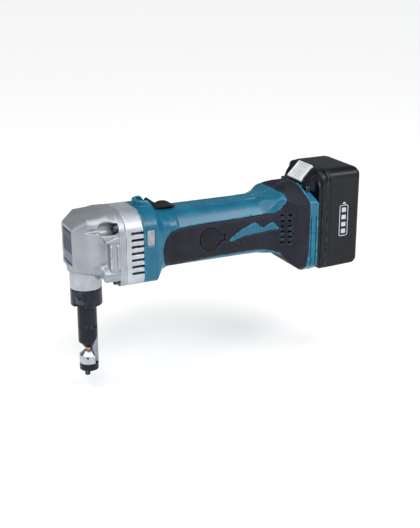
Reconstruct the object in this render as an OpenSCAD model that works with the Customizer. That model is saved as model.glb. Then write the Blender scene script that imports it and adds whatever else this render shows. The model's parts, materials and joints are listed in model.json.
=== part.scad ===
// Cordless metal nibbler with a slide-on battery. Sizes in millimetres.
// +X runs from the cutting head to the battery, +Z is up.
// The origin is on the punch axis, half way up the die holder's clamping round.

/* [Head] */
// Height of the motor's axis above the origin
axis_z = 71.5; // [71:0.1:72]
// Front face of the head, ahead of the punch axis
nose_front = 17.5; // [17:0.1:18.5]
// Outer radius of the turned collar under the head
collar_r = 16.45; // [16:0.05:16.8]
// Diameter of the die holder's round barrel
barrel_d = 20; // [19.6:0.1:20]
// Diameter of the punch's cutting tip, which is the width of the cut
punch_d = 5; // [4.6:0.1:5]
// Gap between the punch guide and the die, where the sheet goes
sheet_gap = 3; // [2.6:0.1:3.4]
// Stroke of the punch
stroke = 6.4; // [5.6:0.1:6.4]

/* [Drive] */
// Radius of the armature's iron core
core_r = 17.6; // [16:0.1:17.7]
// Radius of the commutator
commutator_r = 11; // [10:0.1:11]
// Distance from the punch axis to the brushes
brush_x = 125.3; // [124:0.1:126]

/* [Body] */
// Half width of the motor housing's front
body_half_w = 36; // [35.5:0.1:36]
// Top of the motor housing's front above the motor's axis
body_top = 36.5; // [36:0.1:36.5]
// Bottom of the motor housing's front below the motor's axis
body_bottom = 38; // [37.5:0.1:38.5]
// Half width of the grip
grip_half_w = 30.5; // [30:0.1:30.5]
// Depth of the rubber laid into the housing
rubber_t = 2; // [1.6:0.1:2]
// Thickness of the housing's walls
wall_t = 3.5; // [3.2:0.1:3.5]
// Travel of the slide switch
switch_travel = 7; // [5:0.5:7]

/* [Battery] */
// Half width of the battery
battery_half_w = 37.5; // [37:0.1:37.5]
// Rear face of the battery
battery_rear = 301; // [296:0.1:301]
// Top of the battery above the motor's axis
battery_top = 58.6; // [58:0.1:59]
// Bottom of the battery below the motor's axis
battery_bottom = 54; // [53:0.1:54]
// Travel of the battery's release button
button_travel = 3; // [2:0.1:3]

/* [Hidden] */
$fn = 72;

// Running and assembly clearances
run_fit = 0.05;
seat_fit = 0.02;
air = 0.3;

// Finishes
cast = "#b9bec4";
steel = "#9aa0a6";
black_steel = "#23262b";
teal = "#1f8fa3";
rubber = "#4a4650";
black = "#202226";
copper = "#b87048";
brass = "#c9a24e";

// Stations along the tool, measured from the punch axis
shoulder_x = -4;         // where the head's front facets meet its sides
flange_x = 25;           // front of the head's bolted flange
seam_x = 31.5;           // rear of the head casting
plate_x = 37.5;          // rear of the bearing plate inside the gear cover
cover_x = 50;            // rear of the gear cover, front of the motor housing
big_end_x = 65.5;        // rear of the motor housing's full section
waist_x = 73;            // middle of the taper behind it
grip_x = 82;             // front of the grip's even section
foot_x = 203;            // front of the battery foot
rail_x = 238.5;          // floor of the battery foot's rail recess
foot_rear = 249;         // rear of the battery foot
split_x = 259.3;         // joint between the battery's two cases
ridge_x = 253.3;         // front of the ridge along the battery's joint

// Heights along the punch, measured from the motor's axis
nose_top = -4;           // top of the round nose
collar_top = -24;
collar_end = -42.5;
spigot_end = -54;
nut_end = -60.7;
clamp_end = -82;         // lower end of the die holder's clamping round
side_cut = -93.5;        // where the die holder is cut away beside its arm
cone_top = -102;
guide_tip = -109;
die_top = guide_tip - sheet_gap;
die_seat = -125.5;
base_end = -132.8;

// Gear pair: the crank's axis lies half the sum of the pitch diameters above the motor's
pinion_teeth = 8;
gear_teeth = 49;
tooth_module = 0.6;
crank_rise = (pinion_teeth + gear_teeth) * tooth_module / 2;

// Crank, rod and ram
barrel_r = barrel_d / 2;
punch_r = punch_d / 2;
crank_r = stroke / 2;
wrist_z = -14;
wrist_r = 2.5;
crank_pin_r = 5;
crank_pin_z = crank_rise - crank_r;
ram_r = 8;
ram_top = -8;
ram_end = -52;
thread_pitch = 1.5;
shank_r = 5;
shank_end = -97.5;
arm_half_t = 2.3;        // half thickness of the die holder's arm

// Head bolts
bolt_y = 27;
bolt_top_z = 22.5;
bolt_low_z = -31.5;

// Insides of the housing and the battery
cavity_r = 26.6;         // inside of the grip
fan_bay_r = 32.5;        // inside of the motor housing round the fan
latch_z = 30;
button_x = 247.4;        // middle of the release button
button_z = 52.6;
blade_y = 13;            // spacing of the battery's blades
blade_low = -36;
blade_high = -14;
cell_r = 9.2;
cell_front_x = 265.3;
cell_top_z = 36.6;
cell_space = 48.5;       // bottom of the cells' space below the motor's axis

// ---------- helpers ----------

// Everything is drawn about the motor's axis and lifted onto the origin's height
module on_axis() translate([0, 0, axis_z]) children();

// Extrudes an outline in the YZ plane along X
module along_x(x0, x1) translate([x0, 0, 0]) rotate([90, 0, 90]) linear_extrude(x1 - x0) children();

// Extrudes an outline in the XZ plane along Y
module along_y(y0, y1) translate([0, y1, 0]) rotate([90, 0, 0]) linear_extrude(y1 - y0) children();

module rod_x(x0, x1, r) translate([x0, 0, 0]) rotate([0, 90, 0]) cylinder(h = x1 - x0, r = r);
module rod_y(y0, y1, r) translate([0, y0, 0]) rotate([-90, 0, 0]) cylinder(h = y1 - y0, r = r);
module rod_z(z0, z1, r) translate([0, 0, z0]) cylinder(h = z1 - z0, r = r);
module tube_x(x0, x1, r, bore) difference() {
    rod_x(x0, x1, r);
    rod_x(x0 - 1, x1 + 1, bore);
}

// A block between two corners
module block(low, high) translate(low) cube(high - low);

// Outline with a flat middle and its own corner radius at the top and the bottom
module rounded_section(half_w, top, bottom, r_top, r_low) {
    translate([-half_w, -(bottom - r_low)]) square([2 * half_w, top + bottom - r_top - r_low]);
    translate([-(half_w - r_top), 0]) square([2 * (half_w - r_top), top]);
    translate([-(half_w - r_low), -bottom]) square([2 * (half_w - r_low), bottom]);
    for (side = [-1, 1]) {
        translate([side * (half_w - r_top), top - r_top]) circle(r_top);
        translate([side * (half_w - r_low), r_low - bottom]) circle(r_low);
    }
}

module body_section(inset = 0)
    rounded_section(body_half_w - inset, body_top - inset, body_bottom - inset, 24 - inset, 10 - inset);
module grip_section(inset = 0)
    rounded_section(grip_half_w - inset, 30 - inset, 30 - inset, 22 - inset, 22 - inset);

// Gear outline with straight-flanked teeth; a tooth points along +X at turn 0
function tooth(r, m, pitch, a) = [
    for (p = [[-1.1, -0.247], [0, -0.19], [0.8, -0.07], [0.8, 0.07], [0, 0.19], [-1.1, 0.247]])
        let (reach = r + p[0] * m, turn = a + p[1] * pitch)
            [reach * cos(turn), reach * sin(turn)]
];
module gear_outline(teeth, m, turn = 0) {
    pitch = 360 / teeth;
    polygon([for (i = [0 : teeth - 1]) each tooth(teeth * m / 2, m, pitch, i * pitch + turn)]);
}

// Left side is the operator's left, at -Y
module on_side(side) mirror([0, side > 0 ? 0 : 1, 0]) children();
module both_sides() for (side = [-1, 1]) on_side(side) children();
module bolt_places() for (z = [bolt_top_z, bolt_low_z]) both_sides() translate([0, bolt_y, z]) children();

// ---------- head ----------

module head_slab(x, half_w, top, bottom, r) translate([x, 0, 0]) rotate([90, 0, 90])
    linear_extrude(0.1) rounded_section(half_w, top, bottom, r, r, $fn = 32);

module head_outside() {
    hull() {
        head_slab(-nose_front, 18, 24, 20, 4);
        head_slab(shoulder_x, 25, 34, 24, 9);
    }
    hull() {
        head_slab(shoulder_x, 25, 34, 24, 9);
        head_slab(10, 30, 34.8, 28, 12);
    }
    hull() {
        head_slab(9, 30, 34.8, 28, 12);
        head_slab(16, 33, 36.5, 34, 16);
    }
    along_x(16, flange_x + 0.1) rounded_section(33, 36.5, 34, 20, 12);
    along_x(flange_x, seam_x) body_section();
    rod_z(collar_top, nose_top, 18.5);
    rod_z(collar_end, collar_top + 1, collar_r);
    both_sides() {
        // pillar between the two bolt bosses
        block([15, 30, -18], [26, 35.6, 9.5]);
        // boss above the lower bolt
        translate([0, 27, -24]) rod_x(8, 26, 8);
        // boss under the upper bolt
        translate([0, 28, 13.5]) rod_x(11, 26, 6.5);
    }
}

module gear_housing() color(cast) on_axis() difference() {
    head_outside();
    // pockets over the bolt heads
    bolt_places() rod_x(7, flange_x, 5.6);
    bolt_places() rod_x(flange_x - 1, seam_x + 1, 2.6);
    // recess for the nameplate
    block([-nose_front - 1, -13.2, -15], [-nose_front + 0.8, 13.2, 20.2]);
    // bearing seat, gear chamber and pinion chamber
    translate([0, 0, crank_rise]) {
        rod_x(10.2, 19, 13 + seat_fit);
        rod_x(18.6, seam_x + 1, 16.6);
        rod_x(-5.5, 10.3, 14.2);
    }
    rod_x(17.5, seam_x + 1, 8);
    // chamber of the connecting rod, and the bore that holds the nose sleeve
    block([-4.8, -12.6, -26.9], [4.8, 12.6, crank_rise]);
    rod_z(-27, crank_pin_z, 9);
    rod_z(collar_end - 1, -26.9, 12 + seat_fit);
}

module nameplate() color("#34465c") on_axis()
    block([-nose_front + 0.2, -12.9, -14.7], [-nose_front + 0.78, 12.9, 19.9]);

module flange_bolts() color(black_steel) on_axis() bolt_places() {
    difference() {
        rod_x(flange_x - 4.8, flange_x, 4.2);
        translate([flange_x - 5, 0, 0]) rotate([0, 90, 0]) cylinder(h = 2.6, r = 2.3, $fn = 6);
    }
    rod_x(flange_x, 57, 2.5);
}

module cooling_slots() {
    pitch = 6.87;
    first = 17.1;
    for (i = [0 : 6]) both_sides() translate([0, 0, first - i * pitch]) {
        block([38.2, 24, -1.4], [cover_x + 1, 42, 1.4]);
        translate([38.2, 0, 0]) rod_y(24, 42, 1.4);
    }
}

module gear_cover() color("#c4c7cc") on_axis() difference() {
    union() {
        difference() {
            along_x(seam_x, cover_x) body_section();
            rod_x(plate_x, cover_x + 1, fan_bay_r);
            cooling_slots();
        }
        rod_x(plate_x - 1, 43.8, 12.5);
        intersection() {
            along_x(plate_x - 1, cover_x) body_section();
            bolt_places() rod_x(plate_x - 1, cover_x, 5);
        }
    }
    bolt_places() rod_x(seam_x - 1, cover_x + 1, 2.6);
    translate([0, 0, crank_rise]) rod_x(seam_x - 1, 36.8, 8 + seat_fit);
    rod_x(37.8, 44, 9.5 + seat_fit);
    rod_x(seam_x - 1, 45, 4.5);
    rod_x(seam_x - 1, 33, 6);
}

// ---------- crank drive ----------

module crankshaft() color(steel) on_axis() translate([0, 0, crank_rise]) {
    rod_x(9.2, 28.4, 6);
    rod_x(28.4, 36.4, 3);
    rod_x(4.9, 9.3, 10);
    translate([0, 0, -crank_r]) rod_x(-4.6, 5, crank_pin_r);
}

module crank_gear() color("#8c8f94") on_axis() translate([0, 0, crank_rise]) difference() {
    along_x(19.4, 27.4) gear_outline(gear_teeth, tooth_module, -90 + 180 / gear_teeth);
    rod_x(19, 28, 6 + seat_fit);
    for (i = [0 : 4]) rotate([i * 72, 0, 0]) translate([0, 0, 10]) rod_x(19, 28, 2.2);
}

module ball_bearing(x0, x1, r, bore) difference() {
    tube_x(x0, x1, r, bore);
    tube_x(x0 - 1, x0 + 0.5, r - 1.4, bore + 1.4);
    tube_x(x1 - 0.5, x1 + 1, r - 1.4, bore + 1.4);
}

module front_crank_bearing() color(steel) on_axis()
    translate([0, 0, crank_rise]) ball_bearing(10.4, 18.4, 13, 6 + run_fit);
module rear_crank_bearing() color(steel) on_axis()
    translate([0, 0, crank_rise]) ball_bearing(31.7, 36.7, 8, 3 + run_fit);

// The small end is a slotted eye, so the wrist pin has room at every crank angle
module connecting_rod() color(steel) on_axis() {
    eye_half_w = wrist_r + crank_r + 0.5;
    eye_half_h = wrist_r + stroke + 0.5;
    eye_wall = 2.4;
    difference() {
        union() {
            translate([0, 0, crank_pin_z]) rod_x(-4, 4, crank_pin_r + 3.6);
            block([-4, -5, wrist_z + eye_half_h], [4, 5, crank_pin_z]);
            block([-4, -eye_half_w - eye_wall, wrist_z - eye_half_h - eye_wall],
                  [4, eye_half_w + eye_wall, wrist_z + eye_half_h + eye_wall]);
        }
        translate([0, 0, crank_pin_z]) rod_x(-5, 5, crank_pin_r + run_fit);
        block([-5, -eye_half_w, wrist_z - eye_half_h], [5, eye_half_w, wrist_z + eye_half_h]);
    }
}

module ram() color(steel) on_axis() difference() {
    rod_z(ram_end, ram_top, ram_r);
    block([-4.4, -10, wrist_z - 13.4 - stroke], [4.4, 10, ram_top + 1]);
    translate([0, 0, wrist_z]) rod_x(-9, 9, wrist_r + seat_fit);
    rod_z(ram_end - 1, ram_end + 9, shank_r + seat_fit);
}

module wrist_pin() color("#7d8288") on_axis() translate([0, 0, wrist_z]) rod_x(-7.4, 7.4, wrist_r);

module nose_sleeve() color("#aeb3b8") on_axis() difference() {
    union() {
        rod_z(spigot_end, -27.1, 12);
        rod_z(spigot_end, collar_end - 0.1, 14);
        // thread for the lock nut, drawn as rings
        for (i = [0 : 5]) translate([0, 0, spigot_end + i * thread_pitch]) rod_z(1.6, 2.3, 14.5);
    }
    rod_z(spigot_end - 1, -26, ram_r + run_fit);
}

module lock_nut() color(black_steel) on_axis() difference() {
    rod_z(nut_end, collar_end - 0.3, collar_r - 0.15);
    rod_z(-58, collar_end, 14.85);
    rod_z(nut_end - 1, -57, barrel_r + 0.35);
    // two notches for the hook wrench
    for (turn = [45, 225]) rotate([0, 0, turn])
        block([12.6, -6, nut_end - 1], [20, 6, nut_end + 3.4]);
}

module punch() color(copper) on_axis() {
    rod_z(shank_end, ram_end + 8.9, shank_r);
    rod_z(guide_tip - stroke, shank_end + 0.1, punch_r);
}

module die_holder() color(black_steel) on_axis() difference() {
    union() {
        rod_z(-57.7, spigot_end - 0.3, 13.8);
        rod_z(-61, -57.6, barrel_r - 0.2);
        rod_z(clamp_end, -61, barrel_r);
        rod_z(clamp_end - 3.4, clamp_end, barrel_r - 0.5);
        rod_z(clamp_end - 2, clamp_end - 1.2, barrel_r);
        rod_z(cone_top, clamp_end - 3.2, barrel_r);
        translate([0, 0, guide_tip]) cylinder(h = cone_top - guide_tip, r1 = 3.7, r2 = barrel_r);
        intersection() {
            rod_z(base_end, side_cut, barrel_r - 0.1);
            block([3.4, -arm_half_t, base_end], [12, arm_half_t, side_cut]);
        }
        rod_z(base_end, die_seat, barrel_r - 0.1);
    }
    // bores for the punch's shank and tip
    rod_z(shank_end - 1, spigot_end, shank_r + air);
    rod_z(guide_tip - 1, shank_end, punch_r + run_fit + 0.01);
    rod_z(-118, cone_top + 3, punch_r + run_fit + 0.01);
    // the barrel's sides are cut away beside the arm
    both_sides() along_y(arm_half_t, 12)
        polygon([[3.4, -101], [11, side_cut], [11, guide_tip - 1], [3.4, guide_tip - 1]]);
    // chips fall through the base, and its two bolts come from below
    rod_z(base_end - 1, die_seat + 1, 3);
    die_bolt_places() rod_z(base_end - 1, die_seat + 1, 1.6);
}

module die_bolt_places() for (y = [-5.9, 5.9]) translate([-3.9, y, 0]) children();

module die() color("#d5d7da") on_axis() difference() {
    union() {
        rod_z(die_seat + 0.05, -117.4, 9.7);
        translate([0, 0, -117.5]) cylinder(h = die_top + 117.5, r1 = 9.7, r2 = 4.2);
    }
    rod_z(-118, die_top + 1, punch_r + run_fit + 0.01);
    rod_z(die_seat - 1, -117, 3.2);
    block([3.3, -12, die_seat - 1], [12, 12, die_top + 1]);
    // side hole that shows how worn the die is
    translate([0, 0, -118.6]) rotate([0, 0, -65]) rod_x(-12, 0, 0.9);
    die_bolt_places() rod_z(die_seat - 1, die_seat + 5, 1.5);
}

module die_bolts() color(black_steel) on_axis() die_bolt_places() {
    rod_z(base_end - 0.5, die_seat + 4.5, 1.4);
    difference() {
        rod_z(base_end - 4.2, base_end, 2.9);
        translate([0, 0, base_end - 4.3]) cylinder(h = 2.3, r = 1.5, $fn = 6);
    }
}

// ---------- motor ----------

module armature_shaft() color(steel) on_axis() {
    along_x(18.6, 28) gear_outline(pinion_teeth, tooth_module, 90);
    rod_x(27.9, 37.6, 2.8);
    rod_x(37.5, 44, 3.5);
    rod_x(43.9, 140, 4);
    rod_x(139.9, 147, 3);
}

module armature_core() color("#6f7378") on_axis() difference() {
    rod_x(62, 106, core_r);
    rod_x(61, 107, 4 + seat_fit);
    for (i = [0 : 11]) rotate([i * 30, 0, 0]) translate([0, 0, 12.6]) {
        rod_x(61, 107, 2.6);
        block([61, -0.9, 0], [107, 0.9, 8]);
    }
}

module armature_windings() color(copper) on_axis() {
    tube_x(56.5, 61.9, 15.4, 4 + seat_fit);
    tube_x(106.1, 113, 15.4, 4 + seat_fit);
    for (i = [0 : 11]) rotate([i * 30, 0, 0]) translate([0, 0, 12.6]) rod_x(61.8, 106.2, 2.5);
}

module commutator() color(copper) on_axis() difference() {
    union() {
        rod_x(116, 134, commutator_r);
        rod_x(114.6, 116.1, commutator_r + 1.6);
    }
    rod_x(114, 135, 4 + seat_fit);
    for (i = [0 : 11]) rotate([i * 30, 0, 0])
        block([114, -0.25, commutator_r - 1], [135, 0.25, commutator_r + 3]);
}

module fan() color("#e6e6e2") on_axis() difference() {
    union() {
        rod_x(45.2, 54.6, 8);
        rod_x(53.2, 54.6, 29.4);
        for (i = [0 : 12]) rotate([i * 360 / 13, 0, 0]) block([45.6, -0.8, 6], [53.4, 0.8, 29.2]);
    }
    rod_x(44, 56, 4 + seat_fit);
}

module front_motor_bearing() color(steel) on_axis() ball_bearing(37.9, 43.7, 9.5, 3.5 + run_fit);
module rear_motor_bearing() color(steel) on_axis() ball_bearing(140.6, 146.6, 9.5, 3 + run_fit);

module stator_yoke() color("#5f6368") on_axis() tube_x(59, 110, 24.2, 21.8);

module stator_magnets() color("#3a3d42") on_axis() both_sides() intersection() {
    tube_x(62, 107, 21.78, 18.3);
    block([60, 8.5, -30], [110, 30, 30]);
}

module baffle_plate() color(black) on_axis() tube_x(55.8, 57.4, 31.4, 17);

// ---------- brushes ----------

module at_brush(side) on_side(side) translate([brush_x, 0, 0]) children();

module brush_holder(side) color(brass) on_axis() at_brush(side) difference() {
    block([-5.5, 13, -4.2], [5.5, 26.4, 4.2]);
    block([-4.3, 12, -3], [4.3, 27.4, 3]);
}
module left_brush_holder() brush_holder(-1);
module right_brush_holder() brush_holder(1);

module brush(side) color("#2c2c30") on_axis() at_brush(side)
    block([-4, commutator_r + 0.15, -2.7], [4, 20.5, 2.7]);
module left_brush() brush(-1);
module right_brush() brush(1);

module brush_spring(side) color(steel) on_axis() at_brush(side) for (i = [0 : 5])
    translate([0, 20.7 + i * 0.92, 0]) difference() {
        rod_y(0, 0.6, 2.5);
        rod_y(-1, 2, 1.7);
    }
module left_brush_spring() brush_spring(-1);
module right_brush_spring() brush_spring(1);

module brush_caps() color(black) on_axis() for (side = [-1, 1]) at_brush(side) difference() {
    rod_y(26.5, 28.6, 7);
    block([-6, 28, -0.8], [6, 30, 0.8]);
}

module brush_cover(side) color("#4d4854") on_axis() at_brush(side) {
    translate([0, 0, -1.5]) rod_y(28.7, 30.3, 11.9);
    block([11, 28.7, -5], [15.8, 30.1, 2]);
}
module left_brush_cover() brush_cover(-1);
module right_brush_cover() brush_cover(1);

// ---------- housing ----------

module foot_side_outline() polygon([
    [188, -29.8], [203, -28.4], [210, -32], [216, -38.4], [223, -44.6], [238, -55], [246, -59],
    [foot_rear, -59], [foot_rear, 24], [244, 34], [237, 42.8], [227, 42.8], [220, 40.6],
    [214, 36.8], [209, 35], [204, 32.6], [198, 30.6], [188, 30]
]);

// Half of the foot as seen from above, from its neck to its rear
foot_plan = [
    [187, 26], [200, 29], [208, 31.5], [215, 35], [222, 38.6], [228, 39.5], [foot_rear, 39.5]
];
module foot_plan_outline() for (side = [-1, 1])
    polygon([[187, 0], for (p = foot_plan) [p[0], side * p[1]], [foot_rear, 0]]);

module foot_rear_outline() intersection() {
    translate([-39.5, -60]) square([79, 110]);
    union() {
        translate([0, -10]) circle(52.8);
        translate([-39.5, -60]) square([79, 85]);
    }
    translate([0, 3]) circle(62);
}

module foot(inset = 0) intersection() {
    along_y(-45, 45) offset(delta = -inset) foot_side_outline();
    translate([0, 0, -70]) linear_extrude(140) offset(delta = -inset) foot_plan_outline();
    along_x(180, 260) offset(delta = -inset) foot_rear_outline();
    // rounds the neck where the foot leaves the grip
    translate([186, 0, 0]) rotate([0, 90, 0]) cylinder(h = 64, r1 = 27 - 1.3 * inset, r2 = 81.4 - 1.3 * inset);
}

module housing_slab(x) translate([x, 0, 0]) rotate([90, 0, 90]) linear_extrude(0.1) children();

module waist_section(inset = 0)
    rounded_section(31.8 - inset, 31.6 - inset, 32.2 - inset, 22 - inset, 19 - inset);

// Narrows from the motor to the grip
module taper(inset = 0) {
    hull() {
        housing_slab(big_end_x - 0.1) body_section(inset, $fn = 32);
        housing_slab(waist_x) waist_section(inset, $fn = 32);
    }
    hull() {
        housing_slab(waist_x) waist_section(inset, $fn = 32);
        housing_slab(grip_x) grip_section(inset, $fn = 32);
    }
}

module housing_outside(inset = 0) {
    along_x(cover_x, big_end_x) body_section(inset);
    taper(inset);
    along_x(grip_x - 0.1, foot_x) grip_section(inset);
    foot(inset);
}

// Horseshoe guard ahead of the slide switch
module switch_guard() difference() {
    translate([0, 0, 28]) linear_extrude(14.3) {
        translate([64, 0]) circle(12);
        translate([64, -12]) square([11, 24]);
    }
    translate([0, 0, 31]) linear_extrude(20) {
        translate([66, 0]) circle(9.4);
        translate([66, -9.4]) square([20, 18.8]);
    }
    along_y(-30, 30) polygon([[59, 50], [77, 26], [90, 50]]);
}

// Side panel that the soft rubber covers
module panel_outline() polygon([
    [72, -9.5], [73.5, 0], [78, 9], [87, 14.8], [150, 15.6], [196, 16.6], [205, 19], [211, 26],
    [213.5, 33], [212, 37], [212, 60], [235, 60], [235.5, 34], [238, 27], [238, -44], [223, -60],
    [216, -50], [211, -30], [203, -25.5], [190, -22], [150, -21.5], [110, -23.5], [90, -27], [81.5, -28],
    [75, -22]
]);

module rubber_layer() difference() {
    intersection() {
        housing_outside();
        along_y(-50, 50) panel_outline();
    }
    housing_outside(rubber_t);
}

module foot_inside() intersection() {
    along_y(-34, 34) polygon([
        [198, -24], [206, -24], [224, -38], [233, -44], [233, 34], [226, 37], [216, 33.4], [208, 29],
        [198, 24]
    ]);
    translate([0, 0, -70]) linear_extrude(140) polygon([
        [198, -25], [208, -26.5], [222, -33.5], [233, -34.5], [233, 34.5], [222, 33.5], [208, 26.5],
        [198, 25]
    ]);
    along_x(190, 240) translate([0, -10]) circle(48.6);
}

// Hollow of the motor housing, grip and battery foot
module housing_inside() {
    rod_x(cover_x - 1, 58, fan_bay_r);
    rod_x(57.9, 60, 26.9);
    rod_x(59.9, 199, cavity_r);
    foot_inside();
}

module housing_ribs() {
    tube_x(63, 65.5, cavity_r + 1, 24.2 + seat_fit);
    tube_x(102, 104.5, cavity_r + 1, 24.2 + seat_fit);
    tube_x(140.4, 146.8, cavity_r + 1, 9.5 + seat_fit);
}

// Room in the ribs for the switch rod and the wires to the brushes
module rib_notches() {
    block([100, -6, 23.6], [150, 6, 27.4]);
    block([130, -3.4, 18], [150, 3.4, 24]);
    both_sides() translate([0, 17.5, 8]) rod_x(135, 150, 1.5);
}

module screw_places() for (p = [[155, -21], [192, 20], [228, -36]]) translate([p[0], 0, p[1]]) children();

// Opening under each brush cover, from a depth outwards
module brush_opening(depth) both_sides() translate([brush_x, 0, 0]) {
    translate([0, 0, -1.5]) rod_y(depth, 40, 12.3);
    block([10, depth, -5.4], [16.6, 40, 2.4]);
}

// Two columns of air inlets on each side of the foot
module air_inlets() {
    pitch = 6;
    both_sides() for (x = [206, 214], i = [0 : 5])
        translate([x, 0, -i * pitch]) block([0, 24, 12.4], [4.6, 45, 15.2]);
}

module latch_notch() block([236, -10, latch_z - 4.4], [rail_x + 1, 10, 60]);

// All of the space on the far side of the split between the two halves
module far_half(side) block([0, side > 0 ? -60 : 0, -80], [300, side > 0 ? 0 : 60, 80]);

module housing_half(side) color(teal) on_axis() difference() {
    union() {
        difference() {
            union() {
                housing_outside(rubber_t);
                difference() {
                    housing_outside();
                    along_y(-50, 50) panel_outline();
                }
                switch_guard();
            }
            housing_inside();
        }
        difference() {
            housing_ribs();
            rib_notches();
        }
        screw_places() rod_y(-24, 24, 4.5);
    }
    far_half(side);
    bolt_places() rod_x(cover_x - 1, 60, 2.6);
    // seat for the indicator lamp
    both_sides() block([53.2, 34.6, 1.7], [62.2, 40, 18.9]);
    brush_opening(28.6);
    // window for the brush holder
    both_sides() translate([brush_x, 0, 0]) rod_y(20, 29, 7.3);
    // slot for the slide switch and a flat for its knob
    block([66.5 - switch_travel, -9.6, 30.9], [98.5, 9.6, 46]);
    block([72, -4.2, 20], [95, 4.2, 40]);
    air_inlets();
    // rail recess for the battery, open at the top and bottom
    block([rail_x, -28, -70], [foot_rear - 5, 28, 60]);
    block([foot_rear - 5.1, -24, -70], [foot_rear + 1, 24, 60]);
    // opening for the terminal block
    block([230, -19, -40], [rail_x + 1, 19, 8]);
    latch_notch();
    // screws come in from the right
    screw_places() {
        rod_y(-23, 20.1, 1.55);
        rod_y(20, 60, 4.1);
    }
}
module left_housing() housing_half(-1);
module right_housing() housing_half(1);

module grip_half(side) color(rubber) on_axis() difference() {
    rubber_layer();
    far_half(side);
    brush_opening(20);
    air_inlets();
    latch_notch();
    screw_places() rod_y(20, 60, 4.1);
    block([232, -28, 20], [foot_rear, 28, 60]);
}
module left_grip() grip_half(-1);
module right_grip() grip_half(1);

module housing_screws() color(steel) on_axis() screw_places() {
    rod_y(-20, 20, 1.5);
    difference() {
        rod_y(20, 22.6, 3.6);
        // cross recess
        rotate([-90, 0, 0]) translate([0, 0, 21.4]) for (a = [0, 90]) rotate([0, 0, a])
            translate([-2, -0.4, 0]) cube([4, 0.8, 2]);
    }
}

module lamp(side) color("#c9b2b0") on_axis() on_side(side)
    block([53.4, 34.7, 1.9], [62, 36.2, 18.7]);
module left_lamp() lamp(-1);
module right_lamp() lamp(1);

// ---------- switch ----------

module switch_knob() color(black) on_axis() {
    along_y(-8.6, 8.6) polygon([
        [67.6, 31.2], [96.5, 31.2], [96.5, 31.8], [93, 33.8], [89, 35.3], [84, 35.2], [79, 33.4],
        [75, 35], [72.4, 38.8], [70.2, 40], [68.4, 39], [67.6, 36]
    ]);
    block([80, -3.4, 26.2], [94, 3.4, 31.3]);
}

module switch_rod() color("#3b3f45") on_axis() {
    block([81, -5, 24.7], [154, 5, 26]);
    block([84, -3.2, 25.9], [92, 3.2, 26.2]);
    block([148, -2.5, 19], [151, 2.5, 24.8]);
}

module switch_unit() color("#2e3338") on_axis() difference() {
    block([150, -9, -6], [182, 9, 18.6]);
    block([147 - switch_travel, -4, 16], [153, 4, 20]);
}

module control_board() color("#2f6b46") on_axis() {
    block([184, -18, -15], [198, 18, -13.4]);
    block([186, -9, -13.5], [194, 4, -9]);
    translate([191, 11, -13.5]) cylinder(h = 8, r = 4);
}

// ---------- battery connection ----------

module terminal_block() color("#35383d") on_axis() {
    block([230.2, -18.8, -39.5], [rail_x, 18.8, 7.5]);
    for (y = [-blade_y, 0, blade_y]) block([rail_x - 1, y - 0.5, blade_low], [247, y + 0.5, blade_high]);
}

module lead_wires() color("#b02a2a") on_axis() {
    both_sides() translate([0, 5, 4]) rod_x(182.2, 230, 1.3);
    both_sides() translate([0, 17.5, 8]) rod_x(127, 149.4, 1.1);
}

module rail_block() {
    block([rail_x + 0.4, -27.6, -46], [foot_rear - 5.4, 27.6, 40]);
    block([foot_rear - 5.5, -23.6, -46], [foot_rear + 2, 23.6, 40]);
}

module battery_cover() color(black) on_axis() difference() {
    union() {
        rail_block();
        // front wall with rounded lower corners
        along_x(foot_rear + 1, ridge_x + 0.1) rounded_section(36, battery_top - 10, 50, 12, 5);
        // ridge along the joint
        along_x(ridge_x, split_x) rounded_section(battery_half_w, battery_top - 4, 51.6, 12, 5);
        // hump that carries the release button
        along_y(-26, 26) polygon([
            [rail_x + 1, 36], [rail_x + 1, 42], [243, 47.5], [253, 57.4], [256, battery_top],
            [split_x, battery_top], [split_x, 30], [250, 30], [245, 36]
        ]);
    }
    // the cells' space
    block([foot_rear + 3, -33.5, -cell_space], [split_x + 1, 33.5, 36]);
    translate([cell_front_x, 0, cell_top_z]) rod_y(-33.5, 33.5, cell_r + 0.6);
    // slots for the terminal blades, open at the bottom
    for (y = [-blade_y, 0, blade_y]) block([rail_x, y - 1.2, -60], [249, y + 1.2, blade_high + 1.5]);
    // pocket for the button, its spring and the latch
    release_axis() block([-13.2, -14.2, -6.5], [10, 14.2, 10]);
    release_axis() block([-8, -9, -11], [8, 9, -6]);
    block([rail_x - 1, -9.4, latch_z - 5.6], [244.6, 9.4, 42]);
}

// Frame whose Z axis is the outward normal of the slanted shoulder
module release_axis() translate([button_x, 0, button_z]) rotate([0, -45, 0]) children();

module release_button() color("#dcdcd8") on_axis() release_axis() {
    block([-12.6, -13.8, -3], [9.2, 13.8, 1]);
    block([-6, -7, -5.5], [6, 7, -2.9]);
}

module battery_latch() color("#8e9297") on_axis() {
    block([237.2, -8.8, latch_z - 2.8], [241.6, 8.8, latch_z + 4]);
    block([239.6, -8.8, latch_z + 3.9], [241.6, 8.8, 41.4]);
}

module release_spring() color(steel) on_axis() release_axis() for (i = [0 : 3])
    translate([0, 0, -10.8 + i * 1.4]) difference() {
        cylinder(h = 0.8, r = 3);
        translate([0, 0, -1]) cylinder(h = 3, r = 2.2);
    }

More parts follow.
